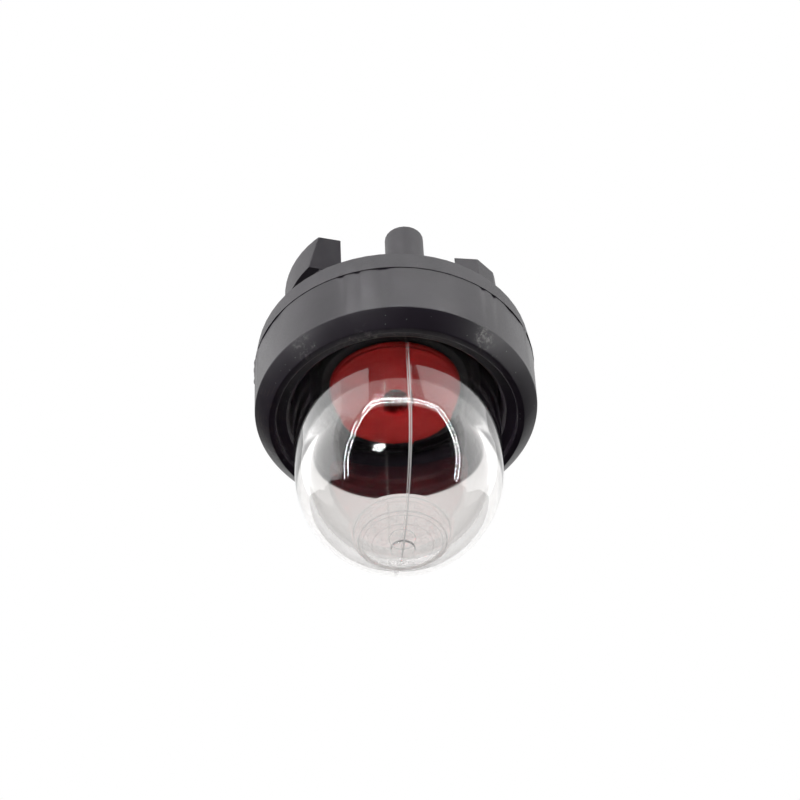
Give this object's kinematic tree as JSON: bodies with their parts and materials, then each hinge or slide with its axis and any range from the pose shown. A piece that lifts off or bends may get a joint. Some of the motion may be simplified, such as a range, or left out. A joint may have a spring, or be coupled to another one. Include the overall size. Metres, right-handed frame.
{
  "type": "primer bulb",
  "caption": "Push-in fuel primer: clear squeeze bulb held by a black collar on a moulded base with hose nipples, snap lugs and a red check valve.",
  "frame": {"origin": "centre of the base's back face, which seats on the panel", "axes": "+Z along the axis and out of the bulb, +Y at 12 o'clock and +X at 3 o'clock seen from the bulb"},
  "size_m": [0.022, 0.022, 0.0312],
  "materials": {
    "base_black": "fine matte moulded black",
    "collar_black": "satin moulded black",
    "clear_plastic": "clear, thick-walled and glossy",
    "red_rubber": "smooth red rubber"
  },
  "bodies": {
    "root": {"base": "base_black", "check_valve": "red_rubber", "bulb": "clear_plastic", "retaining_collar": "collar_black"}
  },
  "joints": []
}
